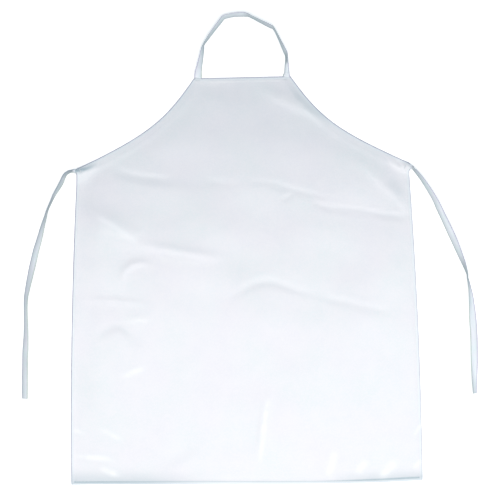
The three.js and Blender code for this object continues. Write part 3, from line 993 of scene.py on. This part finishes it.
def stitch_mesh(line, pitch, length, radius, sink):
    """Rounded stitches along a line on the cloth, each diving into it at both ends. sink is how deep
    they lie in the cloth, in radii."""
    along = lengths_along(line)
    count = int(along[-1] / pitch + 0.01)
    starts = (np.arange(count) + 0.5) * pitch - length / 2
    shares = np.linspace(0, 1, 5)
    at = (starts[:, None] + shares * length).ravel()
    centre = np.column_stack([np.interp(at, along, line[:, k]) for k in (0, 1)])
    before = np.column_stack([np.interp(at - pitch / 4, along, line[:, k]) for k in (0, 1)])
    after = np.column_stack([np.interp(at + pitch / 4, along, line[:, k]) for k in (0, 1)])
    heading = after - before
    heading /= np.linalg.norm(heading, axis=1)[:, None]
    left = np.column_stack([-heading[:, 1], heading[:, 0]])
    top = panel_height(centre) + CLOTH_THICKNESS / 2
    arch = np.tile(np.sin(math.pi * shares), count)
    middle = top + radius * (arch - sink)
    thick = radius * (0.55 + 0.45 * arch)
    around = STITCH_SIDES
    rings = []
    for k in range(around):
        angle = 2 * math.pi * k / around
        spot = centre - left * (thick * math.cos(angle))[:, None]
        rings.append(np.column_stack([spot, middle + thick * math.sin(angle)]))
    points = np.array(rings).transpose(1, 0, 2).reshape(-1, 3)
    faces = []
    for s in range(count):
        first = s * len(shares) * around
        for i in range(len(shares) - 1):
            a, b = first + i * around, first + (i + 1) * around
            faces += [(a + k, a + (k + 1) % around, b + (k + 1) % around, b + k) for k in range(around)]
        last = first + (len(shares) - 1) * around
        faces.append(tuple(range(first, first + around))[::-1])
        faces.append(tuple(range(last, last + around)))
    return points, faces


def stitch_row(name, line, material, replaced):
    points, faces = stitch_mesh(line, STITCH_PITCH, STITCH_LENGTH, STITCH_RADIUS, STITCH_SINK)
    piece = mesh_piece(name, points, faces, material)
    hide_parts(replaced)
    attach(piece, "apron")
    return piece


# The shares of each edge that its seam runs between.
SEAM_SPANS = {
    "bottom": (0.013, 0.987),
    "bib": (0.08, 0.92),
    "side_left": (0.025, 0.986),
    "side_right": (0.014, 0.975),
    "armhole_left": (0.04, 0.97),
    "armhole_right": (0.03, 0.96),
}


def seam(label, edge_name, inset, material, replaced):
    line = inset_line(EDGES[edge_name], inset, *SEAM_SPANS[edge_name])
    stitch_row("stitches_" + label, line, material, replaced)


def seams(material):
    seam("bottom", "bottom", SEAM_INSET, material, "bottom_seam")
    seam("bib", "bib", SEAM_INSET, material, "bib_seam")
    for name in SIDES:
        seam("side_" + name, "side_" + name, SEAM_INSET, material, "side_seam_" + name)
        for row, inset in TAPE_SEAM_INSETS.items():
            replaced = f"armhole_{row}_seam_{name}"
            seam(f"armhole_{row}_{name}", "armhole_" + name, inset, material, replaced)


TACK_WIDTH = 12 * MM
TACK_LENGTH = 2.4 * MM
TACK_PITCH = 0.5 * MM
TACK_RADIUS = 0.26 * MM
TACK_SINK = 0.1


def box_centre(node):
    low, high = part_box(node)
    return np.array([(low.x + high.x) / 2, (low.y + high.y) / 2])


def tack(name, centre, direction, material, replaced):
    """A bar tack: close, short stitches side by side, in the given direction."""
    across = np.array([-direction[1], direction[0]])
    points, faces = [], []
    for i in range(int(TACK_WIDTH / TACK_PITCH)):
        middle = centre + across * ((i + 0.5) * TACK_PITCH - TACK_WIDTH / 2)
        line = np.array([middle - direction * TACK_LENGTH / 2, middle + direction * TACK_LENGTH / 2])
        new, made = stitch_mesh(line, TACK_LENGTH, TACK_LENGTH, TACK_RADIUS, TACK_SINK)
        faces += [tuple(p + len(points) for p in f) for f in made]
        points += list(new)
    piece = mesh_piece(name, points, faces, material)
    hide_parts(replaced)
    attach(piece, "apron")


def tacks(material):
    slope = ARMHOLE_SLOPES[0]
    for name, side in SIDES.items():
        node = "neck_tack_" + name
        tack("bar_tack_neck_" + name, box_centre(node), np.array([0.0, 1.0]), material, node)
        node = "tie_tack_" + name
        direction = np.array([-side * math.cos(slope), math.sin(slope)])
        tack("bar_tack_tie_" + name, box_centre(node), direction, material, node)


# ------------------------------------------------------------------ floor, light

FLOOR_REACH = 7
FLOOR_GAP = 0.2 * MM  # below the apron
WORLD_LOW = (0.27, 0.33, 0.36)
WORLD_HIGH = (0.37, 0.42, 0.46)


def make_floor():
    size = FLOOR_REACH
    mesh = bpy.data.meshes.new("floor")
    corners = [(-size, -size), (size, -size), (size, size), (-size, size)]
    mesh.from_pydata([(x, y, cad_low.z - FLOOR_GAP) for x, y in corners], [], [(0, 1, 2, 3)])
    mesh.materials.append(floor_material())
    floor = link_object("floor", mesh)
    floor.visible_diffuse = False
    floor.visible_glossy = False


def softbox(name, place, target, size, power, colour):
    """A rectangular lamp at a place (metres) that faces a target; its power is in watts."""
    data = bpy.data.lights.new(name, "AREA")
    data.shape = "RECTANGLE"
    data.size, data.size_y = size
    data.energy = power
    data.color = colour
    lamp = link_object(name, data)
    lamp.location = place
    direction = np.array(target, float) - np.array(place, float)
    lamp.rotation_euler = Vector(direction).to_track_quat("-Z", "Y").to_euler()


def make_world():
    """Grey surroundings, a little lighter above."""
    world = bpy.data.worlds.new("studio")
    bpy.context.scene.world = world
    world.use_nodes = True
    tree = world.node_tree
    background = tree.nodes["Background"]
    direction = add_node(tree, "ShaderNodeTexCoord").outputs["Generated"]
    split = add_node(tree, "ShaderNodeSeparateXYZ")
    tree.links.new(direction, split.inputs["Vector"])
    up = ramp(tree, split.outputs["Z"], -0.08, 0.12)
    tree.links.new(mix_colours(tree, up, WORLD_LOW, WORLD_HIGH), background.inputs["Color"])
    background.inputs["Strength"].default_value = 1


def make_lights():
    softbox("overhead light", (0, -0.8, 3.1), (0, -0.8, 0), (3.0, 1.8), 31, (1, 0.955, 0.91))
    softbox("key light", (0, -2.6, 2.4), (0, -0.2, 0), (3.2, 2.0), 43, (1, 0.925, 0.86))
    softbox("left strip light", (-1.2, -0.4, 2.9), (0, -0.4, 0), (0.22, 2.4), 6.5, (0.97, 0.98, 1))
    softbox("right strip light", (1.4, -0.6, 2.9), (0, -0.6, 0), (0.22, 2.0), 5.5, (0.97, 0.98, 1))
    softbox("right fill", (3.2, -0.2, 2.4), (0, 0, 0), (2, 2), 20, (0.93, 0.97, 1))
    make_world()


# ------------------------------------------------------------------ build

def build():
    make_camera()
    tape = tape_material()
    neck_tape(tape)
    waist_tie("tie_left", LEFT, LEFT_TIE_ROUTE, 26, (4, 0.1), tape)
    waist_tie("tie_right", RIGHT, RIGHT_TIE_ROUTE, 30, (3, 0.4), tape)

    cloth = cloth_material()
    thread = thread_material()
    body = panel(cloth)
    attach(body, "apron")
    edging = hems(cloth) + armhole_tapes(tape)
    seams(thread)
    tacks(thread)
    make_floor()
    make_lights()
    bpy.context.scene.view_settings.view_transform = "Standard"


build()
